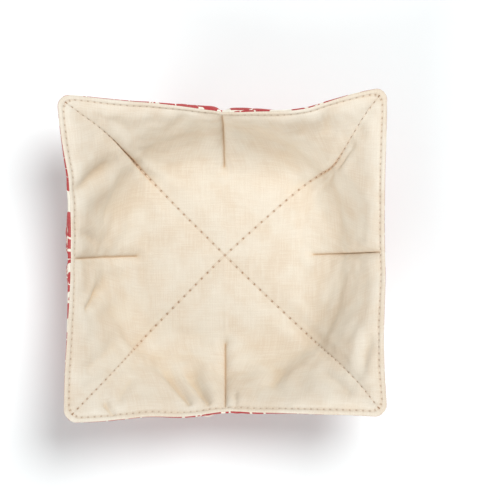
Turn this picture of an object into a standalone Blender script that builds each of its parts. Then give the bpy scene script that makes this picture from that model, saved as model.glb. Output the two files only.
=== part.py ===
"""A quilted bowl cozy: two padded cotton panels with a dart in the middle of each side.

Metres, +Z up. The origin is the middle of the base, on the surface that it stands on.
The cozy is worked out as it is sewn. Each panel is a flat square, four darts take a wedge
out of its sides, and what is left of the cloth then has to reach the rim's outline, so the
cloth's own length sets how steep each wall stands and how high its rim comes.

Side and ring coordinates: ring runs from 0 in the middle to 1 at the rim, in squares, and
across runs along one side of such a square from -1 at a corner, over 0 at the dart, to 1.
"""

import bmesh
import bpy
import numpy as np

MM = 0.001

# The flat panel
HALF_SIDE = 121 * MM
CORNER_ROUND = 7 * MM
DART_LENGTH = 64 * MM
DART_HALF_INTAKE = 19 * MM

# The padding: each panel is a cloth with its own batting
PLUMP = 3.8 * MM
SEWN_FLAT = 1.3 * MM
GAP_BETWEEN_PANELS = 0.4 * MM
PUFF_WIDTH = 13 * MM
DART_PUFF_WIDTH = 9 * MM
RIM_PUFF_WIDTH = 10 * MM
STITCH_INSET = 3.6 * MM
RIM_BEAD = 1.9 * MM
RIM_EDGE = 1.0 * MM

# The standing form: flat base, then a round bend, then a wall that flares towards the corners
BASE_RADIUS_AT_DART = 46 * MM
BASE_RADIUS_AT_CORNER = 61 * MM
BEND_RADIUS_AT_DART = 38 * MM
BEND_RADIUS_AT_CORNER = 26 * MM
FLARE_AT_CORNER = 0.34
MID_SURFACE_HEIGHT = PLUMP + GAP_BETWEEN_PANELS / 2

# Distance of the rim from the middle, in mm, at even steps along each side.
# Sides run counterclockwise seen from above, each from its start corner to its end corner.
RIM_COLUMNS = (-1.0, -0.75, -0.5, -0.25, 0.0, 0.25, 0.5, 0.75, 1.0)
RIM = {
    "right": (97.1, 96.5, 96.5, 96.9, 97.7, 97.5, 97.7, 97.7, 97.4),
    "back": (99.7, 96.2, 90.1, 87.8, 87.2, 90.6, 93.4, 95.3, 96.4),
    "left": (98.3, 96.3, 94.0, 93.4, 93.7, 94.3, 95.1, 95.3, 95.0),
    "front": (99.0, 98.6, 97.8, 97.3, 95.2, 95.3, 95.4, 95.5, 96.6),
}
SIDES = tuple(RIM)

# The folds that show, in mm on the cloth: along is measured from the dart towards the end
# corner, and inset from the rim. Each runs from its first place to its second.
FOLD_COLUMNS = (
    "side", "along_1", "inset_1", "width_1", "along_2", "inset_2", "width_2", "depth",
)
FOLDS = (
    ("left", -44, 5, 4.5, -63, 38, 7.0, 1.8),
    ("left", 24, 22, 4.5, 33, 9, 3.0, 1.6),
    ("back", 52, 22, 6.0, 82, 16, 5.0, 1.2),
    ("back", -46, 4, 3.5, -47, 24, 5.5, 0.9),
    ("back", -62, 4, 3.5, -64, 28, 6.0, 1.1),
    ("front", -34, 36, 7.0, -23, 8, 2.5, 2.4),
    ("front", -22, 36, 6.0, -11, 6, 2.5, 2.5),
    ("front", 6, 18, 3.0, 7, 3, 2.0, 1.0),
    ("front", 38, 44, 6.0, 32, 25, 4.5, 2.2),
    ("front", -80, 10, 3.0, -73, 4, 2.5, 1.0),
    ("front", 62, 32, 5.0, 82, 12, 4.0, 0.9),
    ("right", -56, 6, 3.5, -86, 15, 4.5, 1.4),
    ("right", -54, 38, 5.0, -68, 32, 4.0, 1.0),
    ("right", 64, 34, 4.5, 75, 15, 3.5, 1.6),
)

# The mesh: rings are closer together near the rim, and points near the darts and corners
RINGS = 22
RING_EVENNESS = 0.36
ACROSS_CROWDING = 0.32

COTTON_CREAM = (0.82, 0.74, 0.60, 1.0)
COTTON_RED_PRINT = (0.62, 0.22, 0.20, 1.0)


def smooth_step(x):
    """0 below 0, 1 above 1, and smooth in between."""
    x = np.clip(x, 0.0, 1.0)
    return x * x * (3.0 - 2.0 * x)


def through_points(x, places, values):
    """A smooth curve through the values at evenly spaced places."""
    step = places[1] - places[0]
    cell = np.clip(((x - places[0]) / step).astype(int), 0, len(places) - 2)
    t = (x - places[0]) / step - cell
    values = np.asarray(values, float)
    slopes = np.gradient(values)
    start, end = values[cell], values[cell + 1]
    leave, arrive = slopes[cell], slopes[cell + 1]
    rise = smooth_step(t)
    return (
        start * (1.0 - rise)
        + end * rise
        + leave * t * (1.0 - t) ** 2
        - arrive * t**2 * (1.0 - t)
    )


def dart_half_gap(ring):
    """Half the width of cloth that the dart takes out at this ring."""
    start = 1.0 - DART_LENGTH / HALF_SIDE
    return DART_HALF_INTAKE * np.clip((ring - start) / (1.0 - start), 0.0, None)


def corner_draw_in(ring, across):
    """The share of its distance from the middle that a point keeps, which rounds the corner."""
    radius = CORNER_ROUND / HALF_SIDE
    centre = 1.0 - radius
    slope = np.abs(across)
    reach = centre * (1.0 + slope)
    root = np.sqrt(
        np.clip(reach**2 - (1.0 + slope**2) * (2.0 * centre**2 - radius**2), 0.0, None)
    )
    rounded = np.where(slope > centre, (reach + root) / (1.0 + slope**2), 1.0)
    near_rim = smooth_step((ring - 0.8) / 0.2)
    return 1.0 + (rounded - 1.0) * near_rim


def rim_outline(side, across):
    """(distance out from the middle, distance along the side) of the rim, seen from above."""
    index = SIDES.index(side)
    before = RIM[SIDES[index - 1]][-1] * MM
    after = RIM[SIDES[(index + 1) % len(SIDES)]][0] * MM
    out = through_points(across, RIM_COLUMNS, RIM[side]) * MM
    along = -before + (before + after) * (across + 1.0) / 2.0
    return out, along


def wall_profile(length, bend_radius, lean, flare, wall_length):
    """(reach, height) along a wall: a round bend to its steepest, then easing off to the rim."""
    steepest = lean + flare
    angle = np.minimum(length / bend_radius, steepest)
    rest = wall_length - bend_radius * steepest
    share = (length - bend_radius * angle) / rest
    middle_angle = steepest - flare * share
    chord = rest * share * np.sinc(flare * share / np.pi)
    reach = bend_radius * np.sin(angle) + chord * np.cos(middle_angle)
    height = bend_radius * (1.0 - np.cos(angle)) + chord * np.sin(middle_angle)
    return reach, height


def wall_lean(bend_radius, flare, wall_length, wall_reach):
    """The lean at which a wall of this length reaches just that far out at its rim."""
    low = np.zeros_like(wall_length)
    high = np.minimum(np.full_like(wall_length, 1.7), wall_length / bend_radius - flare - 0.01)
    for _ in range(40):
        lean = (low + high) / 2.0
        reach, _ = wall_profile(wall_length, bend_radius, lean, flare, wall_length)
        too_far = reach > wall_reach
        low = np.where(too_far, lean, low)
        high = np.where(too_far, high, lean)
    return lean


def middle_surface(side, ring, across):
    """The place between the two panels of a point of the sewn cloth."""
    kept = corner_draw_in(ring, across)
    half_gap = dart_half_gap(ring)
    reach_along = half_gap + np.abs(across) * (ring * HALF_SIDE - half_gap)
    cloth_length = np.hypot(ring * HALF_SIDE, reach_along) * kept
    rim_gap = dart_half_gap(np.ones_like(ring))
    rim_along = rim_gap + np.abs(across) * (HALF_SIDE - rim_gap)
    cloth_to_rim = np.hypot(HALF_SIDE, rim_along)

    out, along = rim_outline(side, across)
    towards_corner = np.sin(np.pi / 2.0 * across) ** 2
    base = BASE_RADIUS_AT_DART
    base = base + (BASE_RADIUS_AT_CORNER - BASE_RADIUS_AT_DART) * towards_corner
    bend = BEND_RADIUS_AT_DART
    bend = bend + (BEND_RADIUS_AT_CORNER - BEND_RADIUS_AT_DART) * towards_corner
    flare = FLARE_AT_CORNER * towards_corner
    wall = cloth_to_rim - base
    lean = wall_lean(bend, flare, wall, np.hypot(out, along) - base)

    past_base = np.clip(cloth_length - base, 0.0, None)
    reach, height = wall_profile(past_base, bend, lean, flare, wall)
    reach = reach + np.minimum(cloth_length, base)

    turned = across + (along / out - across) * ring
    out_share = 1.0 / np.hypot(1.0, turned)
    return reach * out_share, reach * out_share * turned, height + MID_SURFACE_HEIGHT


def quarter_round(distance, width):
    """A sewn valley's section: 0 on the seam, steep beside it, and level from width on."""
    left = 1.0 - np.clip(distance / width, 0.0, 1.0)
    return np.sqrt(1.0 - left**2)


def fold_depth(side, along, inset):
    """How far the folds of the table draw the padding in."""
    depth = np.zeros_like(along)
    for row in FOLDS:
        fold = dict(zip(FOLD_COLUMNS, row))
        if fold["side"] != side:
            continue
        start = np.array((fold["along_1"], fold["inset_1"])) * MM
        run = np.array((fold["along_2"], fold["inset_2"])) * MM - start
        from_start = np.stack((along - start[0], inset - start[1]), axis=-1)
        share = np.clip(from_start @ run / (run @ run), 0.0, 1.0)
        away = np.linalg.norm(from_start - share[..., None] * run, axis=-1)
        width = (fold["width_1"] + (fold["width_2"] - fold["width_1"]) * share) * MM
        trough = np.exp(-((away / width) ** 2))
        depth = np.maximum(depth, fold["depth"] * MM * trough)
    return depth


def padding(side, ring, across, folded):
    """The thickness of one panel at a point of the sewn cloth."""
    half_gap = dart_half_gap(ring)
    to_dart = np.abs(across) * (ring * HALF_SIDE - half_gap)
    inset = (1.0 - ring) * HALF_SIDE
    past_dart_end = np.clip(inset - DART_LENGTH, 0.0, None)
    to_corner_seam = (1.0 - np.abs(across)) * (ring * HALF_SIDE - half_gap) / np.sqrt(2.0)
    puff = quarter_round(to_corner_seam, PUFF_WIDTH)
    puff = puff * quarter_round(np.hypot(to_dart, past_dart_end), DART_PUFF_WIDTH)
    puff = puff * quarter_round(inset - STITCH_INSET, RIM_PUFF_WIDTH)
    thickness = SEWN_FLAT + (PLUMP - SEWN_FLAT) * puff
    if folded:
        thickness = thickness - fold_depth(side, np.sign(across) * to_dart, inset) * puff
    across_bead = np.clip(inset / STITCH_INSET, 0.0, 1.0)
    bead = RIM_EDGE + (SEWN_FLAT - RIM_EDGE) * across_bead
    bead = bead + (RIM_BEAD - SEWN_FLAT) * np.sin(np.pi * across_bead)
    return np.where(inset < STITCH_INSET, bead, thickness)


def side_of(across_x, across_y):
    """(side, ring, across) of a point of the flat square, from -1 to 1 each way."""
    ring = max(abs(across_x), abs(across_y))
    if ring == 0.0:
        return "right", 0.0, 0.0
    if across_x == ring and across_y < ring:
        return "right", ring, across_y / ring
    if across_y == ring and across_x > -ring:
        return "back", ring, -across_x / ring
    if across_x == -ring and across_y > -ring:
        return "left", ring, -across_y / ring
    return "front", ring, across_x / ring


def turned_to(side, out, along):
    """x and y of a place given as out from the middle and along the side."""
    quarter_turns = SIDES.index(side)
    for _ in range(quarter_turns):
        out, along = -along, out
    return out, along


def flat_square():
    """A square of eight triangles about its middle, cut evenly, with edges on its diagonals."""
    square = bmesh.new()
    bmesh.ops.create_grid(square, x_segments=2, y_segments=2, size=1.0)
    for face in square.faces:
        corners = sorted(face.verts, key=lambda vertex: vertex.co.length)
        bmesh.ops.connect_verts(square, verts=[corners[0], corners[-1]])
    bmesh.ops.subdivide_edges(square, edges=square.edges, cuts=RINGS - 1, use_grid_fill=True)
    return square


def sewn_panel(name, colour, faces_in):
    """One padded panel: the flat square sewn into form, thickened away from the other panel."""
    square = flat_square()
    direction = 1.0 if faces_in else -1.0
    thickness = []
    for vertex in square.verts:
        step_x = round(vertex.co.x * RINGS)
        step_y = round(vertex.co.y * RINGS)
        side, even_ring, even_across = side_of(step_x / RINGS, step_y / RINGS)
        outer = 1.0 - even_ring
        ring = np.array(1.0 - RING_EVENNESS * outer - (1.0 - RING_EVENNESS) * outer**2)
        crowded = np.sin(2.0 * np.pi * even_across) / (2.0 * np.pi)
        across = np.array(even_across - ACROSS_CROWDING * crowded)
        out, along, height = middle_surface(side, ring, across)
        vertex.co.x, vertex.co.y = turned_to(side, float(out), float(along))
        vertex.co.z = float(height)
        thickness.append(float(padding(side, ring, across, folded=faces_in)))
    square.normal_update()
    for vertex in square.verts:
        vertex.co += vertex.normal * (direction * GAP_BETWEEN_PANELS / 2)

    mesh = bpy.data.meshes.new(name)
    square.to_mesh(mesh)
    square.free()
    panel = bpy.data.objects.new(name, mesh)
    loft = panel.vertex_groups.new(name="padding")
    for index, depth in enumerate(thickness):
        loft.add([index], depth / PLUMP, "REPLACE")
    padded = panel.modifiers.new("padding", "SOLIDIFY")
    padded.thickness = PLUMP
    padded.offset = direction
    padded.vertex_group = loft.name
    padded.use_quality_normals = True
    mesh.shade_smooth()
    mesh.materials.append(cotton(name, colour))
    return panel


def cotton(name, colour):
    """A plain matt cloth material."""
    material = bpy.data.materials.new(name)
    material.use_nodes = True
    shader = material.node_tree.nodes["Principled BSDF"]
    shader.inputs["Base Color"].default_value = colour
    shader.inputs["Roughness"].default_value = 0.9
    shader.inputs["Metallic"].default_value = 0.0
    return material


def clear_scene():
    for thing in list(bpy.data.objects):
        bpy.data.objects.remove(thing)


def main():
    clear_scene()
    cozy = bpy.data.collections.new("bowl_cozy")
    bpy.context.scene.collection.children.link(cozy)
    cozy.objects.link(sewn_panel("inner_panel", COTTON_CREAM, faces_in=True))
    cozy.objects.link(sewn_panel("outer_panel", COTTON_RED_PRINT, faces_in=False))


main()
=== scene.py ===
"""Looks of the quilted bowl cozy: two padded, darted and topstitched cotton panels.

Each panel's skin is worked out on the flat cloth, in the same sewn form as its solid in the
frame, with finer padding, seams, folds and puckers, and carries the flat cloth's coordinates
for its weave, print and needle holes.

Ring runs from 0 in the middle to 1 at the rim, in squares, and across runs along one side of
such a square from -1 at a corner, over 0 at the dart, to 1 at the next corner.
"""

import math

import bpy
import numpy as np
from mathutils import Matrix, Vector


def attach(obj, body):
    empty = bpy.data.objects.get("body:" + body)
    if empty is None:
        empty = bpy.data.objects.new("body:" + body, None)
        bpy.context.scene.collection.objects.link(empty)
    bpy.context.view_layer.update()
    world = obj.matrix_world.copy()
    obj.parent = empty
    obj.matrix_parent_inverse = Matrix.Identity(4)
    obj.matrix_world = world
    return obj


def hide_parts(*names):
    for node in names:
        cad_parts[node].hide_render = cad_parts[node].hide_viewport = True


MM = 0.001

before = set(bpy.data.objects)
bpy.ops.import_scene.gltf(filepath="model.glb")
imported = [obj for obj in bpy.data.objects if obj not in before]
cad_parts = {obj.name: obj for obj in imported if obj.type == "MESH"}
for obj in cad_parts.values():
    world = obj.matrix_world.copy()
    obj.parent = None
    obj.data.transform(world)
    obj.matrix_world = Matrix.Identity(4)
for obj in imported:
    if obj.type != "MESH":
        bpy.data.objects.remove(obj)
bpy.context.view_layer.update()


# Sizes of the sewn cloth: its solids' own, but for rounder corners and thinner seams

HALF_SIDE = 121 * MM
CORNER_ROUND = 9.5 * MM
DART_LENGTH = 64 * MM
DART_HALF_INTAKE = 19 * MM
PLUMP = 3.8 * MM
SEWN_FLAT = 0.55 * MM
GAP_BETWEEN_PANELS = 0.4 * MM
BASE_RADIUS_AT_DART = 46 * MM
BASE_RADIUS_AT_CORNER = 61 * MM
BEND_RADIUS_AT_DART = 38 * MM
BEND_RADIUS_AT_CORNER = 26 * MM
FLARE_AT_CORNER = 0.34
MID_SURFACE_HEIGHT = PLUMP + GAP_BETWEEN_PANELS / 2

# How far out the rim lies, in mm: a row for each side, a column for each of these places across
RIM_COLUMNS = (-1.0, -0.75, -0.5, -0.25, 0.0, 0.25, 0.5, 0.75, 1.0)
RIM = (
    (97.1, 96.5, 96.5, 97.5, 97.7, 97.1, 97.2, 97.9, 97.8),
    (101.0, 95.8, 88.4, 87.1, 87.0, 90.2, 92.4, 94.6, 95.9),
    (99.8, 97.5, 93.6, 92.6, 92.8, 93.5, 94.3, 95.1, 95.0),
    (99.8, 99.2, 97.0, 97.4, 95.0, 95.2, 95.2, 95.4, 96.6),
)
RIGHT, BACK, LEFT, FRONT = range(4)

# Folds in mm on the cloth: their side, one end as along, inset and width, the other end, and
# their depth. They fade towards both ends, and further towards the narrower one
INNER_FOLDS = (
    (LEFT, (-44, 6, 4.6), (-66, 42, 8.0), 4.6),
    (LEFT, (16, 36, 6.0), (32.5, 13, 2.4), 5.2),
    (LEFT, (-8, 30, 5.0), (-16, 9, 3.0), 1.6),
    (LEFT, (58, 40, 6.0), (70, 16, 4.0), 1.4),
    (BACK, (50, 26, 8.0), (78, 14, 6.0), 1.4),
    (BACK, (-48, 7, 5.0), (-50, 32, 7.0), 1.4),
    (BACK, (-66, 8, 4.6), (-67, 30, 6.5), 1.3),
    (BACK, (24, 9, 4.0), (38, 34, 7.0), 1.2),
    (FRONT, (-40, 50, 8.0), (-23.5, 9, 2.6), 7.6),
    (FRONT, (-27, 50, 7.4), (-11, 8, 2.6), 8.0),
    (FRONT, (6, 20, 3.0), (7, 3, 2.0), 1.8),
    (FRONT, (38, 46, 8.5), (31, 25, 5.6), 2.2),
    (FRONT, (-82, 14, 3.4), (-72.5, 4.6, 2.4), 4.0),
    (FRONT, (60, 34, 5.0), (80, 14, 3.6), 2.0),
    (FRONT, (-62, 34, 5.0), (-70, 14, 4.0), 1.4),
    (RIGHT, (-56, 9, 4.6), (-84, 16, 5.0), 2.2),
    (RIGHT, (60, 44, 6.5), (72, 25, 3.6), 1.9),
)
# The share of these folds' depth that the whole wall follows. A skin takes only the rest
SHARED_BY_WALL = 0.45
RIDGE_BESIDE_FOLD = 0.22
# What is left of a fold's depth at its wide end, and over how much of its length it fades there
LEFT_AT_WIDE_END, WIDE_END_FADE = 0.15, 0.45

# How strongly each side's wall waves, and the heights and lengths of its waves in mm: some run
# down the wall and some lie anywhere
WAVINESS = (0.5, 1.0, 1.0, 1.0)
WAVES_DOWN, WAVE_WIDTH, WAVE_LENGTH = 0.95, 15.0, 46.0
WAVES_ABOUT, WAVE_PATCH = 0.8, 26.0

# How much further out the outside panel stands below the rim, in mm, in the columns of RIM
BULGE = (
    (0.0, 0.0, 0.0, 0.0, 0.0, 0.0, 0.0, 0.0, 0.0),
    (0.3, 0.3, 0.5, 0.8, 0.5, 1.0, 0.6, 0.6, 1.2),
    (1.4, 1.0, 2.9, 3.9, 3.6, 2.8, 1.0, 0.2, 0.2),
    (0.8, 0.6, 0.6, 1.0, 1.5, 1.1, 0.2, 0.0, 0.0),
)

# How far the rim's seam is turned to the outside in mm, in the columns of RIM, so that the plain
# cloth covers the edge. The middle surface takes a share of it, and each mm thins the outside
# panel's padding by a share, down to the least
EDGE_TURN = (
    (1.1, 1.1, 1.1, 1.1, 1.1, 1.1, 1.1, 1.1, 0.8),
    (0.8, 0.1, 0.0, 0.3, 0.0, 0.0, 0.2, 0.0, 0.0),
    (0.0, 0.0, 0.0, 0.0, 0.0, 0.2, 0.5, 0.8, 0.8),
    (0.4, 0.0, 0.6, 0.1, 0.0, 0.2, 0.9, 1.1, 1.1),
)
TURN_OF_MIDDLE = 0.4
THINNED_BY_TURN = 0.75
LEAST_PADDING = 0.1

OUTER_FOLDS = (
    (LEFT, (18, 8, 3.5), (40, 40, 6.0), 1.2),
    (LEFT, (-30, 12, 4.0), (-44, 46, 6.0), 1.1),
    (BACK, (22, 9, 4.0), (38, 44, 6.0), 1.2),
    (BACK, (-20, 10, 3.5), (-34, 36, 6.0), 1.0),
    (FRONT, (-24, 8, 3.5), (-36, 42, 6.0), 1.3),
    (FRONT, (16, 10, 3.5), (30, 46, 6.0), 1.2),
    (RIGHT, (20, 10, 4.0), (36, 40, 6.0), 1.1),
    (RIGHT, (-26, 8, 3.5), (-38, 44, 6.0), 1.2),
)

# How far each diagonal seam lies beside the straight line to its corner, in mm, from the middle
# of the base to the corner in steps of a tenth of a ring, counterclockwise being positive
SEAM_SWAY = (
    (0.0, -0.8, -1.8, -3.0, -4.8, -7.4, -9.0, -7.2, -4.0, -1.3, 0.0),
    (0.0, 0.0, 0.0, -0.4, -1.0, -1.8, -2.8, -3.5, -3.4, -2.0, -0.4),
    (0.0, 0.0, 0.0, 0.0, 0.0, 0.3, 0.5, 0.6, 0.6, 0.3, 0.0),
    (0.0, 0.0, 0.3, 0.7, 1.2, 1.7, 2.2, 2.9, 3.0, 2.2, 0.6),
)
# How far from the seam the cloth still follows it
SWAY_REACH = 34 * MM

# How tightly the two walls close over each diagonal seam, in the same steps
SEAM_CREASE = (
    (0.0, 0.0, 0.0, 0.0, 0.1, 0.5, 0.7, 0.2, 0.0, 0.0, 0.0),
    (0.0, 0.0, 0.0, 0.0, 0.3, 0.8, 0.9, 0.5, 0.0, 0.0, 0.0),
    (0.0, 0.0, 0.0, 0.0, 0.1, 0.2, 0.1, 0.0, 0.0, 0.0, 0.0),
    (0.0, 0.0, 0.0, 0.0, 0.0, 0.0, 0.0, 0.0, 0.0, 0.0, 0.0),
)

# How slowly the padding rises beside each diagonal seam, on the side that ends there and on
# the side that starts there
SEAM_RISE = ((1.4, 0.55), (1.0, 1.0), (1.0, 1.0), (1.0, 1.0))

# Seams, and the stitches and thread in them

STITCH_INSET = 2.8 * MM
EDGE_ROLL = 1.5 * MM
RIM_STITCHES_PER_SIDE = 49
CROSS_STITCHES = 32
THREAD_RADIUS = 0.24 * MM
STITCH_SHARE_OF_PITCH = 0.93
STITCH_WANDER = 0.05 * MM
STITCH_ARCH, STITCH_SUNK = 0.30, 0.22
THREAD_SIDES = 7
THREAD_WIDER, THREAD_FLATTER = 1.15, 0.85
HOLE_PINCH = 0.16

# How far from a diagonal, a dart and the rim the padding takes to rise, in mm, and how gently
CROSS_RISE, DART_RISE, RIM_RISE = 12.5, 8.0, 9.0
CROSS_FOOT, DART_FOOT, RIM_FOOT = 0.72, 0.6, 0.72
# What a crease takes from that rise and its gentleness, and how it lifts the cloth beside it
CREASE_NARROWS, CREASE_STEEPENS, CREASE_LIFTS = 7.0, 0.22, 1.5
# Heights of the puckers beside each kind of seam, and of the batting's broad and small lumps, in mm
RIM_PUCKERS, CROSS_PUCKERS, DART_PUCKERS = 0.36, 0.34, 0.18
BROAD_LUMPS, SMALL_LUMPS = 0.34, 0.16
# How wide the puckers and lumps are, and how far from their seam the puckers are felt, in mm
RIM_PUCKER_WIDTH, CROSS_PUCKER_WIDTH, DART_PUCKER_WIDTH = 5.2, 5.6, 6.5
RIM_PUCKER_LENGTH, CROSS_PUCKER_LENGTH, DART_PUCKER_LENGTH = 26, 24, 22.0
PUCKER_REACH, DART_PUCKER_REACH = 9, 10
BROAD_LUMP_WIDTH, SMALL_LUMP_WIDTH = 23.0, 9.0
# The edge's bead in mm: its height at the very edge, its swelling and rise on the way to the
# topstitching, its unevenness, and what the rolled edge adds
BEAD_FOOT, BEAD_SWELL, BEAD_RISE, BEAD_UNEVEN, BEAD_AT_EDGE = 0.12, 0.34, 0.30, 0.14, 0.75

# The cloth simulation: its scale, the points it runs on, its length, how firmly the batting
# holds the cloth between the seams, and the most that a point may move
SIM_SCALE = 10.0
SIM_EVERY = 2
SIM_FRAMES = 24
BATTING_HOLD = 0.34
WRINKLE_CAP = 1.0 * MM

# The lattice: squares about the middle, whose outermost rings have these insets in mm
RINGS = 96
OUTER_INSETS = (0.0, 0.12, 0.42, 0.9, 1.4, 1.9, 2.35, 2.6, 2.8, 3.05, 3.5, 4.1, 4.85, 5.8, 6.9, 8.1)
ACROSS_CROWDING = 0.5
NOISE_CELLS = 128


def smooth_step(x):
    x = np.clip(x, 0.0, 1.0)
    return x * x * (3.0 - 2.0 * x)


def through_points(x, places, values):
    """A smooth curve through the values at evenly spaced places."""
    step = places[1] - places[0]
    cell = np.clip(((x - places[0]) / step).astype(int), 0, len(places) - 2)
    t = (x - places[0]) / step - cell
    values = np.asarray(values, float)
    slopes = np.gradient(values)
    rise = smooth_step(t)
    return (
        values[cell] * (1.0 - rise)
        + values[cell + 1] * rise
        + slopes[cell] * t * (1.0 - t) ** 2
        - slopes[cell + 1] * t**2 * (1.0 - t)
    )


def dart_half_gap(ring):
    start = 1.0 - DART_LENGTH / HALF_SIDE
    return DART_HALF_INTAKE * np.clip((ring - start) / (1.0 - start), 0.0, None)


def corner_draw_in(ring, across):
    radius = CORNER_ROUND / HALF_SIDE
    centre = 1.0 - radius
    slope = np.abs(across)
    reach = centre * (1.0 + slope)
    inside = reach**2 - (1.0 + slope**2) * (2.0 * centre**2 - radius**2)
    rounded = np.where(
        slope > centre, (reach + np.sqrt(np.clip(inside, 0.0, None))) / (1.0 + slope**2), 1.0
    )
    return 1.0 + (rounded - 1.0) * smooth_step((ring - 0.8) / 0.2)


def wall_profile(length, bend_radius, lean, flare, wall_length):
    steepest = lean + flare
    angle = np.minimum(length / bend_radius, steepest)
    rest = wall_length - bend_radius * steepest
    share = (length - bend_radius * angle) / rest
    middle_angle = steepest - flare * share
    chord = rest * share * np.sinc(flare * share / np.pi)
    reach = bend_radius * np.sin(angle) + chord * np.cos(middle_angle)
    height = bend_radius * (1.0 - np.cos(angle)) + chord * np.sin(middle_angle)
    return reach, height


def wall_lean(bend_radius, flare, wall_length, wall_reach):
    low = np.zeros_like(wall_length)
    high = np.minimum(np.full_like(wall_length, 1.7), wall_length / bend_radius - flare - 0.01)
    for _ in range(40):
        lean = (low + high) / 2.0
        reach, _ = wall_profile(wall_length, bend_radius, lean, flare, wall_length)
        low = np.where(reach > wall_reach, lean, low)
        high = np.where(reach > wall_reach, high, lean)
    return lean


def turned(side, out, along):
    """x and y of places given as out from the middle and along their side."""
    x = np.choose(side, (out, -along, -out, along))
    y = np.choose(side, (along, out, -along, -out))
    return x, y


TENTHS = np.linspace(0.0, 1.0, 11)


def nearest_corner(side, across):
    """Each side's own number for its end corner, and its neighbour's for its start corner."""
    return np.where(across > 0, side, (side - 1) % 4)


def middle_surface(side, ring, across):
    """The place between the two panels of points of the sewn cloth."""
    half_gap = dart_half_gap(ring)
    reach_along = half_gap + np.abs(across) * (ring * HALF_SIDE - half_gap)
    cloth_length = np.hypot(ring * HALF_SIDE, reach_along) * corner_draw_in(ring, across)
    rim_gap = dart_half_gap(1.0)
    cloth_to_rim = np.hypot(HALF_SIDE, rim_gap + np.abs(across) * (HALF_SIDE - rim_gap))

    out = np.choose(side, [through_points(across, RIM_COLUMNS, row) * MM for row in RIM])
    before = np.choose(side, [RIM[k - 1][-1] * MM for k in range(4)])
    after = np.choose(side, [RIM[(k + 1) % 4][0] * MM for k in range(4)])
    along = -before + (before + after) * (across + 1.0) / 2.0

    towards_corner = np.sin(np.pi / 2.0 * across) ** 2
    base = BASE_RADIUS_AT_DART + (BASE_RADIUS_AT_CORNER - BASE_RADIUS_AT_DART) * towards_corner
    bend = BEND_RADIUS_AT_DART + (BEND_RADIUS_AT_CORNER - BEND_RADIUS_AT_DART) * towards_corner
    flare = FLARE_AT_CORNER * towards_corner
    wall = cloth_to_rim - base
    lean = wall_lean(bend, flare, wall, np.hypot(out, along) - base)
    past_base = np.clip(cloth_length - base, 0.0, None)
    reach, height = wall_profile(past_base, bend, lean, flare, wall)
    reach = reach + np.minimum(cloth_length, base)

    turn = across + (along / out - across) * ring
    share = 1.0 / np.hypot(1.0, turn)
    x, y = turned(side, reach * share, reach * share * turn)
    to_seam = (1.0 - np.abs(across)) * np.maximum(reach * share, 1e-6)
    near = (1.0 - smooth_step(to_seam / SWAY_REACH)) * MM
    for corner in range(4):
        at_corner = nearest_corner(side, across) == corner
        sway = np.where(at_corner, through_points(ring, TENTHS, SEAM_SWAY[corner]) * near, 0.0)
        angle = math.radians(45.0 + 90.0 * corner)
        x = x - math.sin(angle) * sway
        y = y + math.cos(angle) * sway
    return np.stack((x, y, height + MID_SURFACE_HEIGHT), axis=-1)


def value_noise(x, y, seed):
    """Smooth noise of about -1 to 1 that changes over a distance of 1."""
    table = np.random.default_rng(seed).uniform(-1.0, 1.0, (NOISE_CELLS, NOISE_CELLS))
    x0, y0 = np.floor(x).astype(int), np.floor(y).astype(int)
    tx, ty = smooth_step(x - x0), smooth_step(y - y0)
    x1, y1 = (x0 + 1) % NOISE_CELLS, (y0 + 1) % NOISE_CELLS
    x0, y0 = x0 % NOISE_CELLS, y0 % NOISE_CELLS
    near = table[x0, y0] * (1 - tx) + table[x1, y0] * tx
    far = table[x0, y1] * (1 - tx) + table[x1, y1] * tx
    return near * (1 - ty) + far * ty


def quarter_round(distance, width, power=0.5):
    """A rise from 0 to 1 over a width: a quarter round, or gentler at its foot if power is more."""
    left = 1.0 - np.clip(distance / width, 0.0, 1.0)
    return (1.0 - left**2) ** power


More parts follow.
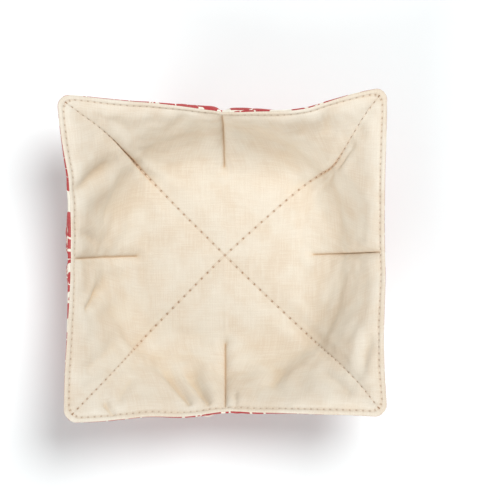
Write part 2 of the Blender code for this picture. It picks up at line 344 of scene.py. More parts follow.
class Lattice:
    """The points of the flat cloth, each with its place on its side and its seam distances."""

    def __init__(self):
        n = RINGS
        outer = np.array(OUTER_INSETS) * MM
        last_step = outer[-1] - outer[-2]
        count = n - len(outer) + 1
        k = np.arange(1, count + 1)
        left = HALF_SIDE - outer[-1]
        growth = (left - last_step * count) / np.sum(k)
        steps = last_step + growth * k
        insets = np.concatenate((outer, outer[-1] + np.cumsum(steps)))
        self.rings = 1.0 - insets[::-1] / HALF_SIDE
        self.rings[0] = 0.0
        index = np.arange(-n, n + 1)
        i, j = np.meshgrid(index, index, indexing="ij")
        ring_index = np.maximum(np.abs(i), np.abs(j))
        side = np.full(i.shape, FRONT)
        side[(i == -ring_index) & (j > -ring_index)] = LEFT
        side[(j == ring_index) & (i > -ring_index)] = BACK
        side[(i == ring_index) & (j < ring_index)] = RIGHT
        side[n, n] = RIGHT
        even = np.choose(side, (j, -i, -j, i)) / np.maximum(ring_index, 1)
        self.index, self.side = index, side
        self.ring = self.rings[ring_index]
        self.across = self.crowd(even)
        self.gap = dart_half_gap(self.ring)
        self.to_dart = np.abs(self.across) * (self.ring * HALF_SIDE - self.gap)
        self.inset = (1.0 - self.ring) * HALF_SIDE
        self.to_cross = (self.ring * HALF_SIDE - self.gap - self.to_dart) / math.sqrt(2.0)
        self.along_cross = (self.ring * HALF_SIDE + self.gap + self.to_dart) / math.sqrt(2.0)
        past_end = np.clip(self.inset - DART_LENGTH, 0.0, None)
        self.to_dart_seam = np.hypot(self.to_dart, past_end)
        sign = np.sign(self.across)
        self.signed_along = sign * self.to_dart
        self.flat = np.stack(
            turned(side, self.ring * HALF_SIDE, sign * (self.gap + self.to_dart)), axis=-1
        )

    @staticmethod
    def crowd(even):
        return even - ACROSS_CROWDING * np.sin(2.0 * np.pi * even) / (2.0 * np.pi)

    def place(self, side, ring, across):
        """The lattice coordinates of any point of the cloth."""
        ring_index = np.interp(ring, self.rings, np.arange(RINGS + 1))
        evens = np.linspace(-1.0, 1.0, 801)
        even = np.interp(across, self.crowd(evens), evens)
        i, j = turned(side, ring_index, even * ring_index)
        return i + RINGS, j + RINGS

    def sample(self, grid, side, ring, across):
        """A grid's value at any point of the cloth."""
        i, j = self.place(side, ring, across)
        i0 = np.clip(np.floor(i).astype(int), 0, 2 * RINGS - 1)
        j0 = np.clip(np.floor(j).astype(int), 0, 2 * RINGS - 1)
        ti, tj = (i - i0)[..., None], (j - j0)[..., None]
        return (
            grid[i0, j0] * (1 - ti) * (1 - tj)
            + grid[i0 + 1, j0] * ti * (1 - tj)
            + grid[i0, j0 + 1] * (1 - ti) * tj
            + grid[i0 + 1, j0 + 1] * ti * tj
        )


def grid_normals(points):
    """Unit normals of a grid of points, facing up or in."""
    normal = np.cross(np.gradient(points, axis=0), np.gradient(points, axis=1))
    return normal / (np.linalg.norm(normal, axis=-1, keepdims=True) + 1e-12)


def softened(field, times):
    """A grid field averaged with its neighbours, so many times."""
    for _ in range(times):
        padded = np.pad(field, ((1, 1), (1, 1), (0, 0)), mode="edge")
        field = (
            field * 2.0
            + padded[:-2, 1:-1] + padded[2:, 1:-1] + padded[1:-1, :-2] + padded[1:-1, 2:]
        ) / 6.0
    return field


def fold_depth(cloth, folds):
    """How deep the cloth dips into its folds, with a slight ridge along each fold's sides."""
    depth = np.zeros_like(cloth.ring)
    ridge = np.zeros_like(cloth.ring)
    for side, (along_1, inset_1, width_1), (along_2, inset_2, width_2), deep in folds:
        start = np.array((along_1, inset_1)) * MM
        run = np.array((along_2, inset_2)) * MM - start
        from_start = np.stack((cloth.signed_along, cloth.inset), axis=-1) - start
        share = np.clip(from_start @ run / (run @ run), 0.0, 1.0)
        away = np.linalg.norm(from_start - share[..., None] * run, axis=-1)
        width = (width_1 + (width_2 - width_1) * share) * MM
        taper = width / (max(width_1, width_2) * MM)
        from_wide_end = share if width_1 > width_2 else 1.0 - share
        fade = smooth_step(from_wide_end / WIDE_END_FADE)
        taper = taper * (LEFT_AT_WIDE_END + (1.0 - LEFT_AT_WIDE_END) * fade)
        on_side = np.where(cloth.side == side, deep * MM * taper, 0.0)
        depth = np.maximum(depth, on_side * np.exp(-((away / width) ** 2)))
        ridge = np.maximum(ridge, on_side * np.exp(-(((away - 1.9 * width) / width) ** 2)))
    return depth - RIDGE_BESIDE_FOLD * ridge


RIM_STITCH_RING = 1.0 - STITCH_INSET / HALF_SIDE
RIM_SEAM_LENGTH = RIM_STITCH_RING * HALF_SIDE - float(dart_half_gap(RIM_STITCH_RING))
RIM_PITCH = 2.0 * RIM_SEAM_LENGTH / RIM_STITCHES_PER_SIDE
CROSS_PITCH = RIM_STITCH_RING * HALF_SIDE * math.sqrt(2.0) / CROSS_STITCHES


def seam_crease(cloth):
    """How tightly the cloth closes over the diagonal seam nearest to each point."""
    corner = nearest_corner(cloth.side, cloth.across)
    return np.choose(corner, [through_points(cloth.ring, TENTHS, row) for row in SEAM_CREASE])


def seam_rise(cloth):
    """How slowly the padding rises beside the diagonal seam nearest to each point."""
    corner = nearest_corner(cloth.side, cloth.across)
    ends = np.choose(corner, [rise[0] for rise in SEAM_RISE])
    starts = np.choose(corner, [rise[1] for rise in SEAM_RISE])
    rise = np.where(cloth.side == corner, ends, starts)
    return 1.0 + (rise - 1.0) * smooth_step((cloth.ring - 0.35) / 0.3)


def padding(cloth, folds, seed):
    """The height of a panel's skin over the middle surface."""
    inset = cloth.inset
    crease = seam_crease(cloth)
    rise_width = (CROSS_RISE - CREASE_NARROWS * crease) * MM * seam_rise(cloth)
    puff = quarter_round(cloth.to_cross, rise_width, CROSS_FOOT - CREASE_STEEPENS * crease)
    puff = puff * quarter_round(cloth.to_dart_seam, DART_RISE * MM, DART_FOOT)
    puff = puff * quarter_round(inset - STITCH_INSET, RIM_RISE * MM, RIM_FOOT)
    x, y = cloth.flat[..., 0] / MM, cloth.flat[..., 1] / MM
    along = cloth.signed_along / MM + 130.0 * cloth.side

    rim_near = np.exp(-(inset - STITCH_INSET) / (PUCKER_REACH * MM))
    cross_near = np.exp(-cloth.to_cross / (PUCKER_REACH * MM))
    dart_near = np.exp(-cloth.to_dart_seam / (DART_PUCKER_REACH * MM))
    puckers = RIM_PUCKERS * rim_near * value_noise(
        along / RIM_PUCKER_WIDTH, inset / (RIM_PUCKER_LENGTH * MM), seed
    )
    puckers += CROSS_PUCKERS * cross_near * value_noise(
        cloth.along_cross / (CROSS_PUCKER_WIDTH * MM) + 31 * cloth.side,
        cloth.to_cross / (CROSS_PUCKER_LENGTH * MM), seed + 1,
    )
    puckers += DART_PUCKERS * dart_near * value_noise(
        inset / (DART_PUCKER_WIDTH * MM) + 17 * cloth.side,
        along / DART_PUCKER_LENGTH, seed + 2,
    )
    loft = BROAD_LUMPS * value_noise(x / BROAD_LUMP_WIDTH, y / BROAD_LUMP_WIDTH, seed + 3)
    loft += SMALL_LUMPS * value_noise(x / SMALL_LUMP_WIDTH, y / SMALL_LUMP_WIDTH, seed + 4)
    on_base = 1.0 - smooth_step((cloth.ring - 0.33) / 0.2)
    near_cross = np.exp(-((cloth.to_cross / (11 * MM)) ** 2))
    seam_lift = (1.5 - 1.1 * crease) * MM * np.exp(-((cloth.to_cross / (4.5 * MM)) ** 2))
    sewn = SEWN_FLAT + seam_lift
    height = sewn + (PLUMP - sewn) * puff
    height = height + CREASE_LIFTS * MM * crease * near_cross * puff
    height = height - (1.0 - SHARED_BY_WALL) * fold_depth(cloth, folds) * puff
    height = height + (puckers + loft) * MM * puff * (1.0 - 0.45 * on_base)

    hole_phase = 2.0 * np.pi * cloth.to_dart / RIM_PITCH
    pinch = -np.cos(hole_phase) * np.exp(-np.abs(inset - STITCH_INSET) / (1.3 * MM))
    cross_phase = 2.0 * np.pi * cloth.along_cross / CROSS_PITCH
    cross_pinch = np.cos(cross_phase) * np.exp(-cloth.to_cross / (1.3 * MM))
    inside_rim_seam = smooth_step((inset - 5 * MM) / MM)
    height = height - HOLE_PINCH * MM * (pinch + cross_pinch * inside_rim_seam)

    share = np.clip(inset / STITCH_INSET, 0.0, 1.0)
    bead = SEWN_FLAT * share + BEAD_SWELL * MM * np.sin(np.pi * share) + BEAD_RISE * MM * share
    unevenness = value_noise(along / 7.0, np.zeros_like(inset), seed + 5)
    bead = bead + BEAD_UNEVEN * MM * unevenness * np.sin(np.pi * share)
    roll = quarter_round(inset, EDGE_ROLL)
    bead = BEAD_FOOT * MM + (bead + BEAD_AT_EDGE * MM * (1.0 - share)) * roll
    bead = bead - HOLE_PINCH * MM * pinch * share
    return np.where(inset < STITCH_INSET, bead, height)


def finer(grid):
    """A grid of vectors at twice its resolution, by a smooth curve through its points."""
    for axis in (0, 1):
        grid = np.moveaxis(grid, axis, 0)
        ends = np.concatenate((grid[:1], grid, grid[-1:]))
        between = (9.0 * (ends[1:-2] + ends[2:-1]) - ends[:-3] - ends[3:]) / 16.0
        whole = np.zeros((2 * len(grid) - 1,) + grid.shape[1:])
        whole[::2], whole[1::2] = grid, between
        grid = np.moveaxis(whole, 0, axis)
    return grid


def wrinkled(skin, cloth, way):
    """The skin once Blender's Cloth has let it pucker between its seams.

    It runs on every second point, at ten times the real size. The seams are pinned, the
    batting holds the rest loosely in place, and the cloth is a little longer than the
    space between its seams.
    """
    start = skin[::SIM_EVERY, ::SIM_EVERY]
    rows = len(start)
    number = np.arange(rows * rows).reshape(rows, rows)
    corners = (number[:-1, :-1], number[1:, :-1], number[1:, 1:], number[:-1, 1:])
    faces = np.stack(corners, axis=-1).reshape(-1, 4)[:, ::way]
    mesh = bpy.data.meshes.new("wrinkling")
    mesh.from_pydata((start * SIM_SCALE).reshape(-1, 3).tolist(), [], faces.tolist())
    sheet = bpy.data.objects.new("wrinkling", mesh)
    scene = bpy.context.scene
    scene.collection.objects.link(sheet)

    def coarse(field):
        return field[::SIM_EVERY, ::SIM_EVERY]

    sewn = np.minimum(coarse(cloth.to_cross), coarse(cloth.to_dart_seam))
    held = np.exp(-((sewn / (1.6 * MM)) ** 2))
    held = np.maximum(held, coarse(cloth.inset) <= STITCH_INSET + 0.4 * MM)
    on_base = 1.0 - smooth_step((coarse(cloth.ring) - 0.3) / 0.2)
    held = np.maximum(held, BATTING_HOLD + 0.12 * on_base)
    group = sheet.vertex_groups.new(name="held")
    for index, weight in enumerate(held.reshape(-1)):
        group.add([index], float(weight), "REPLACE")

    cloth_modifier = sheet.modifiers.new("cloth", "CLOTH")
    settings = cloth_modifier.settings
    settings.quality = 6
    settings.mass = 0.25
    settings.air_damping = 4.0
    settings.tension_stiffness = settings.compression_stiffness = 25.0
    settings.shear_stiffness = 12.0
    settings.bending_stiffness = 1.6
    settings.shrink_min = -0.015
    settings.vertex_group_mass = "held"
    settings.pin_stiffness = 1.0
    settings.use_pressure = True
    settings.uniform_pressure_force = 0.6
    settings.effector_weights.gravity = 0.0
    cloth_modifier.collision_settings.use_collision = False
    cloth_modifier.collision_settings.use_self_collision = False
    for frame_number in range(1, SIM_FRAMES + 1):
        scene.frame_set(frame_number)
    settled = sheet.evaluated_get(bpy.context.evaluated_depsgraph_get()).data
    places = np.empty(rows * rows * 3, np.float32)
    settled.vertices.foreach_get("co", places)
    places = places.reshape(rows, rows, 3).astype(float) / SIM_SCALE
    bpy.data.objects.remove(sheet)
    bpy.data.meshes.remove(mesh)
    scene.frame_set(1)

    moved = np.nan_to_num(places - start)
    length = np.linalg.norm(moved, axis=-1, keepdims=True)
    moved *= np.minimum(1.0, WRINKLE_CAP / np.maximum(length, 1e-9))
    return skin + finer(softened(moved, 2))


def cloth_mesh(name, cloth, front, back):
    """A closed mesh of a panel, from the grids of its skin and of its hidden side."""
    size = 2 * RINGS + 1
    count = size * size
    number = np.arange(count).reshape(size, size)
    faces, face_side, face_sign = [], [], []
    for i in range(size - 1):
        x0 = cloth.index[i]
        for j in range(size - 1):
            y0 = cloth.index[j]
            a, b = (i, j), (i + 1, j)
            c, d = (i + 1, j + 1), (i, j + 1)
            if x0 == y0:
                parts = ((a, b, c), (a, c, d))
            elif x0 == -y0 - 1:
                parts = ((a, b, d), (b, c, d))
            else:
                parts = ((a, b, c, d),)
            for part in parts:
                faces.append(part)
                cx = sum(cloth.index[p[0]] for p in part) / len(part)
                cy = sum(cloth.index[p[1]] for p in part) / len(part)
                if abs(cx) > abs(cy):
                    side = RIGHT if cx > 0 else LEFT
                    run = cy if cx > 0 else -cy
                else:
                    side = BACK if cy > 0 else FRONT
                    run = -cx if cy > 0 else cx
                face_side.append(side)
                face_sign.append(1.0 if run > 0 else -1.0)
    skin = [tuple(int(number[p]) for p in part) for part in faces]
    hidden = [tuple(v + count for v in reversed(face)) for face in skin]
    edge = [(size - 1, j) for j in range(size - 1)]
    edge += [(i, size - 1) for i in range(size - 1, 0, -1)]
    edge += [(0, j) for j in range(size - 1, 0, -1)]
    edge += [(i, 0) for i in range(size - 1)]
    ring = [int(number[p]) for p in edge]
    border = [
        (ring[k - 1], ring[k - 1] + count, ring[k] + count, ring[k]) for k in range(len(ring))
    ]
    mesh = bpy.data.meshes.new(name)
    places = np.concatenate((front.reshape(-1, 3), back.reshape(-1, 3)))
    mesh.from_pydata(places.tolist(), [], skin + hidden + border)
    mesh.update()

    flat = mesh.uv_layers.new(name="flat_cloth")
    out = (cloth.ring * HALF_SIDE).reshape(-1)
    along = (cloth.gap + cloth.to_dart).reshape(-1)
    face_sizes = [len(face) for face in skin]
    loop_side = np.repeat(face_side, face_sizes)
    loop_sign = np.repeat(face_sign, face_sizes)
    uv = []
    for step in (1, -1):
        v = np.array([v for face in skin for v in face[::step]])
        uv.append(np.stack(turned(loop_side, out[v], loop_sign * along[v]), axis=-1))
    uv.append(cloth.flat.reshape(-1, 2)[[v % count for face in border for v in face]])
    uv = np.concatenate(uv)
    flat.data.foreach_set("uv", (uv / MM).astype(np.float32).reshape(-1))

    def keep(attribute, *fields):
        layer = mesh.attributes.new(attribute, "FLOAT_VECTOR", "POINT")
        value = np.zeros((count, 3))
        for axis, field in enumerate(fields):
            value[:, axis] = field.reshape(-1) / MM
        layer.data.foreach_set("vector", np.tile(value, (2, 1)).astype(np.float32).reshape(-1))

    keep("rim_seam", cloth.to_dart, cloth.inset - STITCH_INSET)
    keep("cross_seam", cloth.along_cross, cloth.to_cross)
    keep("dart_seam", cloth.inset, cloth.to_dart_seam)
    keep("crease", seam_crease(cloth) * MM)
    out_way = grid_normals(front)
    if np.mean(front - back, axis=(0, 1))[2] < 0.0:
        out_way = -out_way
    # How far each point lies below its smoothed surroundings, for the cotton's painted shade in
    # hollows and painted highlight on crests
    keep("hollow", np.sum((softened(front, 40) - front) * out_way, axis=-1))
    mesh.shade_smooth()
    panel = bpy.data.objects.new(name, mesh)
    bpy.context.scene.collection.objects.link(panel)
    return panel


def thread_mesh(name, centres, lifts, radius):
    """Short threads as one mesh: centres is (threads, points, 3) and lifts is the outward way."""
    threads, points, _ = centres.shape
    sides = THREAD_SIDES
    run = np.gradient(centres, axis=1)
    run /= np.linalg.norm(run, axis=-1, keepdims=True)
    wide = np.cross(run, lifts)
    wide /= np.linalg.norm(wide, axis=-1, keepdims=True)
    high = np.cross(wide, run)
    turn = np.linspace(0.0, 2.0 * np.pi, sides, endpoint=False)
    taper = np.sin(np.pi * np.linspace(0.06, 0.94, points)) ** 0.35
    size = radius * taper[None, :, None, None]
    around = (
        wide[:, :, None, :] * np.cos(turn)[None, None, :, None] * THREAD_WIDER
        + high[:, :, None, :] * np.sin(turn)[None, None, :, None] * THREAD_FLATTER
    )
    places = (centres[:, :, None, :] + around * size).reshape(-1, 3)
    faces = []
    for t in range(threads):
        start = t * points * sides
        for p in range(points - 1):
            for s in range(sides):
                a = start + p * sides + s
                b = start + p * sides + (s + 1) % sides
                faces.append((a, b, b + sides, a + sides))
        faces.append(tuple(start + s for s in reversed(range(sides))))
        faces.append(tuple(start + (points - 1) * sides + s for s in range(sides)))
    mesh = bpy.data.meshes.new(name)
    mesh.from_pydata(places.tolist(), [], faces)
    mesh.shade_smooth()
    thread = bpy.data.objects.new(name, mesh)
    bpy.context.scene.collection.objects.link(thread)
    return thread


def seam_threads(name, cloth, skin, outward, seed):
    """The topstitching round the rim and the two quilting lines, lying on a skin."""
    rng = np.random.default_rng(seed)
    steps = np.linspace(-0.5, 0.5, 9)
    rows = []
    for side in range(4):
        for k in range(-(RIM_STITCHES_PER_SIDE // 2), RIM_STITCHES_PER_SIDE // 2 + 1):
            place = (k + steps * STITCH_SHARE_OF_PITCH) * RIM_PITCH
            wander = rng.normal(0.0, STITCH_WANDER, 2)
            inset = STITCH_INSET + wander[0] + (wander[1] - wander[0]) * (steps + 0.5)
            ring = 1.0 - inset / HALF_SIDE
            length = ring * HALF_SIDE - dart_half_gap(ring)
            rows.append((side, ring, np.clip(place / length, -1.0, 1.0)))
    for side in range(4):
        for k in range(CROSS_STITCHES - 1):
            place = (k + 0.5 + steps * STITCH_SHARE_OF_PITCH) * CROSS_PITCH
            ring = place / (HALF_SIDE * math.sqrt(2.0))
            rows.append((side, ring, np.ones_like(ring)))
    sides = np.array([row[0] for row in rows])[:, None] + np.zeros((1, len(steps)), int)
    ring = np.array([row[1] for row in rows])
    across = np.array([row[2] for row in rows])
    centres = cloth.sample(skin, sides, ring, across)
    lifts = cloth.sample(outward, sides, ring, across)
    lifts /= np.linalg.norm(lifts, axis=-1, keepdims=True)
    arch = STITCH_ARCH * np.cos(np.pi * steps) ** 0.6 - STITCH_SUNK
    centres = centres + lifts * (arch * MM)[None, :, None]
    return thread_mesh(name, centres, lifts, THREAD_RADIUS)


class Nodes:
    """A short way to write a node tree."""

    def __init__(self, name):
        self.material = bpy.data.materials.new(name)
        self.material.use_nodes = True
        self.tree = self.material.node_tree
        self.shader = self.tree.nodes["Principled BSDF"]

    def set(self, socket, value):
        if isinstance(value, bpy.types.NodeSocket):
            self.tree.links.new(value, socket)
        else:
            socket.default_value = value

    def add(self, kind, values=(), output=0, **settings):
        node = self.tree.nodes.new(kind)
        for key, value in settings.items():
            setattr(node, key, value)
        pairs = values.items() if isinstance(values, dict) else enumerate(values)
        for key, value in pairs:
            self.set(node.inputs[key], value)
        return node.outputs[output]

    def math(self, operation, *values):
        return self.add("ShaderNodeMath", values, operation=operation)

    def vector(self, operation, *values):
        output = 1 if operation == "LENGTH" else 0
        return self.add("ShaderNodeVectorMath", values, output, operation=operation)

    def x_and_y(self, vector):
        return self.add("ShaderNodeSeparateXYZ", (vector,)).node.outputs[:2]

    def kept(self, attribute):
        """The two numbers that the mesh keeps under a name for each of its points."""
        return self.x_and_y(self.add("ShaderNodeAttribute", output=1, attribute_name=attribute))

    def smooth(self, value, low, high, to_low=0.0, to_high=1.0):
        return self.add(
            "ShaderNodeMapRange", (value, low, high, to_low, to_high),
            interpolation_type="SMOOTHSTEP",
        )

    def noise(self, vector, scale, detail=2.0, roughness=0.5):
        values = {"Vector": vector, "Scale": scale, "Detail": detail, "Roughness": roughness}
        return self.add("ShaderNodeTexNoise", values)

    def mix(self, share, first, second, blend="MIX"):
        node = self.tree.nodes.new("ShaderNodeMix")
        node.data_type = "RGBA"
        node.blend_type = blend
        self.set(node.inputs["Factor"], share)
        self.set(node.inputs["A"], first)
        self.set(node.inputs["B"], second)
        return node.outputs["Result"]


def rgb(red, green, blue):
    """A shader colour from the 0 to 255 of a picture."""
    shares = [c / 255.0 for c in (red, green, blue)]
    linear = [c / 12.92 if c < 0.04045 else ((c + 0.055) / 1.055) ** 2.4 for c in shares]
    return (*linear, 1.0)


CREAM = rgb(224, 215, 199)
CREAM_WARM = rgb(219, 205, 185)
CREAM_PALE = rgb(238, 232, 219)
# The needle holes' colour is painted shade
NEEDLE_HOLE_SHADE = rgb(150, 108, 72)
PRINT_RED = rgb(192, 20, 36)
PRINT_RED_DEEP = rgb(168, 14, 30)
PRINT_GROUND = rgb(244, 238, 222)
THREAD_PALE = rgb(233, 221, 204)
THREAD_DEEP = rgb(212, 194, 173)

# What each kind of shade leaves of the cloth's own colour
FUZZ_SHADE = (0.30, 0.22, 0.13, 1.0)
HOLLOW_SHADE = (0.88, 0.76, 0.60, 1.0)
DEEP_HOLLOW_SHADE = (0.86, 0.72, 0.54, 1.0)
SEAM_SHADE = (0.72, 0.58, 0.42, 1.0)
CREASE_SHADE = (1.0, 0.67, 0.40, 1.0)
DART_SHADE = (1.0, 0.84, 0.66, 1.0)
DART_LINE_SHADE = (0.66, 0.52, 0.42, 1.0)

# The weave's pitch in mm, a hole's width as a share of its length, and the size of the rim's
# holes as a share of the diagonals'
WEAVE_PITCH = 0.62
HOLE_WIDTH_TO_LENGTH = 0.62
RIM_HOLE_TO_CROSS_HOLE = 0.78

# The print's motifs, in mm on the cloth
BLOSSOM_PITCH, BLOSSOM_SCATTER = 40.0, 0.6
PETALS = 5
PETAL_FOOT, PETAL_LENGTH, HEART_RADIUS = 8.0, 12.5, 4.4
LEAF_PITCH, LEAF_SCATTER = 24.0, 0.85
LEAVES = 3
LEAF_LENGTH = 15.0


def cotton(name, printed):
    """Plain-weave cotton with slubs, needle holes in painted shade and, on the outside, a floral
    print.
    """
    n = Nodes(name)
    flat = n.add("ShaderNodeUVMap", uv_map="flat_cloth")
    x, y = n.x_and_y(flat)

    # The weave: warp over weft on every second crossing
    wave_x = n.math("SINE", n.math("MULTIPLY", x, math.pi / WEAVE_PITCH))
    wave_y = n.math("SINE", n.math("MULTIPLY", y, math.pi / WEAVE_PITCH))
    warp = n.math("ABSOLUTE", wave_x)
    weft = n.math("ABSOLUTE", wave_y)
    over = n.smooth(n.math("MULTIPLY", wave_x, wave_y), -0.35, 0.35)
    weave = n.math(
        "ADD", n.math("MULTIPLY", warp, over),
        n.math("MULTIPLY", weft, n.math("SUBTRACT", 1.0, over)),
    )
    slub_x = n.noise(n.vector("MULTIPLY", flat, (0.06, 1.3, 0.0)), 1.0, 2.0)
    slub_y = n.noise(n.vector("MULTIPLY", flat, (1.3, 0.06, 0.0)), 1.0, 2.0)
    slubs = n.math("ADD", slub_x, slub_y)
    fuzz = n.noise(flat, 1.6, 3.0, 0.6)

    if printed:
        colour = floral_print(n, flat, fuzz)
    else:
        broad = n.noise(flat, 0.045, 3.0, 0.55)
        colour = n.mix(n.smooth(broad, 0.35, 0.65), CREAM, CREAM_WARM)
    paled = 0.06 if printed else 0.30
    colour = n.mix(n.math("MULTIPLY", n.smooth(slubs, 0.85, 1.25), paled), colour, CREAM_PALE)
    fuzzy = n.math("MULTIPLY", n.smooth(fuzz, 0.42, 0.75), 0.10)
    colour = n.mix(fuzzy, colour, FUZZ_SHADE, "MULTIPLY")

    # Painted shade: hollows are darkened to a warmer, deeper tone than crests, and crests get a
    # slight painted highlight
    depth, _ = n.kept("hollow")
    colour = n.mix(n.smooth(depth, 0.1, 1.6, 0.0, 0.37), colour, HOLLOW_SHADE, "MULTIPLY")
    colour = n.mix(n.smooth(depth, 1.2, 3.2, 0.0, 0.45), colour, DEEP_HOLLOW_SHADE, "MULTIPLY")
    colour = n.mix(n.smooth(depth, -0.9, -0.1, 0.10, 0.0), colour, CREAM_PALE)

    # Needle holes painted dark as shade, and painted shade along the seams where the cloth is drawn
    # in beside them
    along_rim, beside_rim = n.kept("rim_seam")
    along_cross, beside_cross = n.kept("cross_seam")

    def near_hole(along, beside, pitch, first):
        shifted = n.math("ADD", along, first)
        away = n.math("MULTIPLY", n.math("PINGPONG", shifted, pitch / 2.0), HOLE_WIDTH_TO_LENGTH)
        return n.vector("LENGTH", n.add("ShaderNodeCombineXYZ", (away, beside, 0.0)))

    rim_hole = near_hole(along_rim, beside_rim, RIM_PITCH / MM, RIM_PITCH / MM / 2.0)
    cross_hole = near_hole(along_cross, beside_cross, CROSS_PITCH / MM, 0.0)
    past_rim_seam = n.smooth(beside_rim, -1.2, -0.6, 9.0, 0.0)
    cross_hole = n.math("ADD", cross_hole, past_rim_seam)
    beside_cross = n.math("ADD", beside_cross, past_rim_seam)
    cross_hole = n.math("MULTIPLY", cross_hole, RIM_HOLE_TO_CROSS_HOLE)
    hole = n.math("MINIMUM", rim_hole, cross_hole)
    seam = n.math("MINIMUM", n.math("ABSOLUTE", beside_rim), beside_cross)
    colour = n.mix(n.smooth(seam, 0.1, 1.4, 0.12, 0.0), colour, SEAM_SHADE, "MULTIPLY")
    tight, _ = n.kept("crease")
    shut = n.math("MULTIPLY", tight, n.smooth(beside_cross, 0.1, 1.9, 0.75, 0.0))
    colour = n.mix(shut, colour, CREASE_SHADE, "MULTIPLY")
    if not printed:
        _, beside_dart = n.kept("dart_seam")
        beside_dart = n.math("ADD", beside_dart, past_rim_seam)
        in_shade = n.smooth(beside_dart, 0.1, 1.6, 0.30, 0.0)
        colour = n.mix(in_shade, colour, DART_SHADE, "MULTIPLY")
        on_line = n.smooth(beside_dart, 0.1, 0.8, 0.55, 0.0)
        colour = n.mix(on_line, colour, DART_LINE_SHADE, "MULTIPLY")
    # Painted shade in the needle holes of the rim and the diagonals
    colour = n.mix(n.smooth(rim_hole, 0.15, 0.75, 0.46, 0.0), colour, NEEDLE_HOLE_SHADE)
    colour = n.mix(n.smooth(cross_hole, 0.15, 0.75, 0.82, 0.0), colour, NEEDLE_HOLE_SHADE)
    n.set(n.shader.inputs["Base Color"], colour)

    height = n.math("ADD", n.math("MULTIPLY", weave, 0.5), n.math("MULTIPLY", slubs, 0.35))
    height = n.math("ADD", height, n.math("MULTIPLY", fuzz, 0.5))
    height = n.math("ADD", height, n.smooth(hole, 0.1, 0.9, -3.0, 0.0))
    bump = n.add("ShaderNodeBump", {"Strength": 0.55, "Distance": 0.00012, "Height": height})
    n.set(n.shader.inputs["Normal"], bump)
    n.shader.inputs["Roughness"].default_value = 0.92
    n.shader.inputs["Specular IOR Level"].default_value = 0.25
    n.shader.inputs["Sheen Weight"].default_value = 0.05 if printed else 0.12
    n.shader.inputs["Sheen Roughness"].default_value = 0.5
    return n.material


def floral_print(n, flat, fuzz):
    """Blossoms and leaves in red on cream, scattered over the cloth, each turned its own way."""
    wobble = n.add("ShaderNodeTexNoise", {"Vector": flat, "Scale": 0.16}, 1)
    wobble = n.vector("SCALE", n.vector("SUBTRACT", wobble, (0.5, 0.5, 0.5)))
    wobble.node.inputs["Scale"].default_value = 3.0
    place = n.vector("ADD", flat, wobble)

    def motifs(pitch, shift, randomness):
        """Each place's angle and distance from the nearest motif's middle."""
        shifted = n.vector("ADD", place, shift)
        cells = n.add(
            "ShaderNodeTexVoronoi",
            {"Vector": shifted, "Scale": 1.0 / pitch, "Randomness": randomness},
            voronoi_dimensions="2D",
        ).node
        away = n.vector("SUBTRACT", shifted, cells.outputs["Position"])
        away_x, away_y = n.x_and_y(away)
        angle = n.math("ARCTAN2", away_y, away_x)
        chance = n.add("ShaderNodeSeparateColor", (cells.outputs["Color"],))
        turn = n.math("MULTIPLY", chance, 2.0 * math.pi)
        return n.math("ADD", angle, turn), n.vector("LENGTH", away)

    angle, away = motifs(BLOSSOM_PITCH, (12.0, 19.0, 0.0), BLOSSOM_SCATTER)
    petals = n.math("ABSOLUTE", n.math("COSINE", n.math("MULTIPLY", angle, PETALS / 2)))
    petals = n.math("POWER", petals, 0.45)
    reach = n.math("ADD", PETAL_FOOT, n.math("MULTIPLY", petals, PETAL_LENGTH))
    blossom = n.smooth(n.math("SUBTRACT", reach, away), -0.25, 0.25)
    heart = n.smooth(n.math("ABSOLUTE", n.math("SUBTRACT", away, HEART_RADIUS)), 0.5, 1.0)
    vein_angle = n.math("ABSOLUTE", n.math("SINE", n.math("MULTIPLY", angle, PETALS)))
    vein = n.math("MULTIPLY", vein_angle, away)
    veins = n.math(
        "MAXIMUM", n.smooth(vein, 0.5, 1.1),
        n.smooth(n.math("ABSOLUTE", n.math("SUBTRACT", away, PETAL_FOOT)), 2.6, 3.2),
    )
    blossom = n.math("MULTIPLY", n.math("MULTIPLY", blossom, heart), veins)

    leaf_angle, leaf_away = motifs(LEAF_PITCH, (61.0, 40.0, 0.0), LEAF_SCATTER)
    half_turns = n.math("MULTIPLY", leaf_angle, LEAVES / 2)
    lean = n.math("ABSOLUTE", n.math("COSINE", half_turns))
    leaf_reach = n.math("MULTIPLY", n.math("POWER", lean, 2.0), LEAF_LENGTH)
    leaf = n.smooth(n.math("SUBTRACT", leaf_reach, leaf_away), -0.25, 0.25)
    rib = n.math("ABSOLUTE", n.math("SINE", half_turns))
    rib = n.smooth(n.math("MULTIPLY", rib, leaf_away), 0.30, 0.60)
    leaf = n.math("MULTIPLY", leaf, rib)
    clear = n.smooth(n.math("SUBTRACT", away, reach), 0.9, 1.3)
    leaf = n.math("MULTIPLY", leaf, clear)

    ink = n.math("MAXIMUM", blossom, leaf)
    worn = n.smooth(fuzz, 0.25, 0.5, 0.92, 1.0)
    red = n.mix(n.noise(flat, 0.09, 2.0), PRINT_RED, PRINT_RED_DEEP)
    return n.mix(n.math("MULTIPLY", ink, worn), PRINT_GROUND, red)


def thread_material():
    n = Nodes("sewing_thread")
    place = n.add("ShaderNodeTexCoord", output=3)
    twist = n.noise(place, 2600.0, 2.0)
    colour = n.mix(n.smooth(twist, 0.3, 0.7), THREAD_PALE, THREAD_DEEP)
    n.set(n.shader.inputs["Base Color"], colour)
    bump = n.add("ShaderNodeBump", {"Strength": 0.5, "Distance": 0.00008, "Height": twist})
    n.set(n.shader.inputs["Normal"], bump)
    n.shader.inputs["Roughness"].default_value = 0.7
    n.shader.inputs["Sheen Weight"].default_value = 0.15
    return n.material


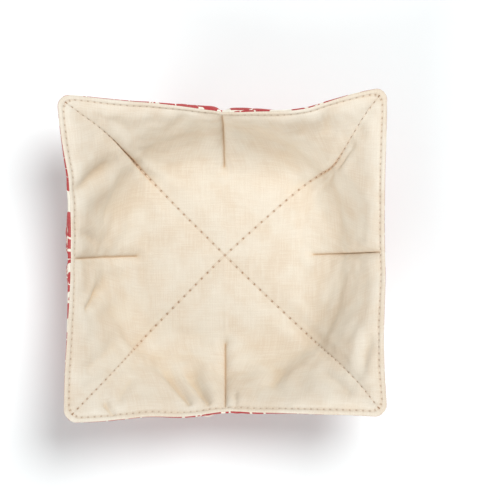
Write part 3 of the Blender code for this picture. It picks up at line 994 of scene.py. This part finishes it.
def at_rim_columns(cloth, table):
    """A table's values in the columns of RIM, at each point of the cloth."""
    return np.choose(cloth.side, [through_points(cloth.across, RIM_COLUMNS, row) for row in table])


def edge_turn(cloth):
    """How far the rim's seam turns the cloth beside it to the outside."""
    near_rim = 1.0 - smooth_step(cloth.inset / (STITCH_INSET + MM))
    return at_rim_columns(cloth, EDGE_TURN) * MM * near_rim


def skin_and_back(cloth, middle, normal, way, folds, seed):
    """A panel's two faces on one side of the middle surface: way is 1 inside and -1 outside."""
    near_rim = 1.0 - smooth_step((cloth.inset - MM) / (5 * MM))
    gap = (GAP_BETWEEN_PANELS / 2) * (1.0 - 0.7 * near_rim)
    height = padding(cloth, folds, seed)
    if way < 0:
        height = np.where(cloth.ring < 0.62, np.minimum(height, PLUMP), height)
        under_rim = np.exp(-(((cloth.inset - 11 * MM) / (10 * MM)) ** 2))
        rolled = 0.45 * quarter_round(cloth.inset, 2.0 * MM)
        rolled = np.maximum(rolled, under_rim * smooth_step((cloth.inset - 2.5 * MM) / (5 * MM)))
        thinned = np.clip(1.0 - THINNED_BY_TURN * edge_turn(cloth) / MM, LEAST_PADDING, 1.0)
        height = height * thinned + at_rim_columns(cloth, BULGE) * MM * rolled
    back = middle + normal * (way * gap)[..., None]
    skin = middle + normal * (way * (gap + height))[..., None]
    skin = wrinkled(skin, cloth, way)
    if way < 0:
        skin[..., 2] = np.maximum(skin[..., 2], 0.0)
    return skin, back


def build():
    cloth = Lattice()
    middle = middle_surface(cloth.side, cloth.ring, cloth.across)
    normal = softened(grid_normals(middle), 8)
    normal /= np.linalg.norm(normal, axis=-1, keepdims=True)
    x, y = cloth.flat[..., 0] / MM, cloth.flat[..., 1] / MM
    standing = smooth_step((cloth.ring - 0.42) / 0.3)
    down, run = cloth.inset / MM, cloth.signed_along / MM + 150.0 * cloth.side
    waves = WAVES_DOWN * value_noise(run / WAVE_WIDTH, down / WAVE_LENGTH, 5)
    waves += WAVES_ABOUT * value_noise(x / WAVE_PATCH + 9, y / WAVE_PATCH, 6)
    waves *= (1.0 - 0.65 * np.exp(-down / 7.0)) * np.choose(cloth.side, WAVINESS)
    waves *= smooth_step(cloth.to_cross / (9 * MM)) * smooth_step(cloth.to_dart_seam / (6 * MM))
    dips = SHARED_BY_WALL * fold_depth(cloth, INNER_FOLDS)
    turn = TURN_OF_MIDDLE * edge_turn(cloth)
    middle = middle + normal * (waves * MM * standing - dips - turn)[..., None]
    settled = grid_normals(middle)
    normal = softened(normal * 0.4 + settled * 0.6, 3)
    normal /= np.linalg.norm(normal, axis=-1, keepdims=True)

    pieces = {}
    for name, way, folds, seed, printed in (
        ("inner_skin", 1, INNER_FOLDS, 20, False),
        ("outer_skin", -1, OUTER_FOLDS, 60, True),
    ):
        skin, back = skin_and_back(cloth, middle, normal, way, folds, seed)
        piece = cloth_mesh(name, cloth, skin, back)
        if way < 0:
            piece.data.flip_normals()
        piece.data.materials.append(cotton(name + "_cotton", printed))
        outward = grid_normals(skin) * way
        threads = seam_threads(name.replace("skin", "stitching"), cloth, skin, outward, seed)
        threads.data.materials.append(thread_material())
        pieces[name] = (piece, threads)
    return pieces


pieces = build()
inner, inner_threads = pieces["inner_skin"]
outer, outer_threads = pieces["outer_skin"]
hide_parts("inner_panel")
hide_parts("outer_panel")
for piece in (inner, inner_threads, outer, outer_threads):
    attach(piece, "root")

# Floor, light and camera

FLOOR_COLOUR = (0.885, 0.922, 0.927, 1.0)
DAYLIGHT = 0.33
LIGHT_TARGET = (0.0, 0.0, 0.03)

scene = bpy.context.scene
scene.view_settings.view_transform = "Standard"

bpy.ops.mesh.primitive_plane_add(size=6.0, location=(0.0, 0.0, 0.0))
floor = bpy.context.object
floor.name = "floor"
pale = Nodes("pale_floor")
pale.shader.inputs["Base Color"].default_value = FLOOR_COLOUR
pale.shader.inputs["Roughness"].default_value = 0.9
pale.shader.inputs["Specular IOR Level"].default_value = 0.1
floor.data.materials.append(pale.material)

world = bpy.data.worlds.new("studio")
world.use_nodes = True
background = world.node_tree.nodes["Background"]
background.inputs["Color"].default_value = (1.0, 1.0, 1.0, 1.0)
background.inputs["Strength"].default_value = DAYLIGHT
scene.world = world


def soft_light(name, place, size, power):
    light = bpy.data.lights.new(name, "AREA")
    light.shape = "DISK"
    light.size = size
    light.energy = power
    lamp = bpy.data.objects.new(name, light)
    lamp.location = place
    to_part = Vector(LIGHT_TARGET) - Vector(place)
    lamp.rotation_euler = to_part.to_track_quat("-Z", "Y").to_euler()
    scene.collection.objects.link(lamp)


soft_light("key", (0.57, 0.68, 1.72), 0.92, 29.0)
soft_light("fill", (-1.35, -1.88, 1.2), 1.8, 38.0)

CAMERA_OVER = (15.95 * MM, 3.35 * MM)
CAMERA_HEIGHT = 1.15
RIM_HEIGHT = 70 * MM
FIELD_AT_RIM = 0.300
camera = bpy.data.cameras.new("camera")
camera.sensor_width = 36.0
camera.lens = 36.0 * (CAMERA_HEIGHT - RIM_HEIGHT) / FIELD_AT_RIM
camera.clip_start = 0.01
view = bpy.data.objects.new("camera", camera)
view.location = (*CAMERA_OVER, CAMERA_HEIGHT)
scene.collection.objects.link(view)
scene.camera = view

bpy.context.view_layer.update()
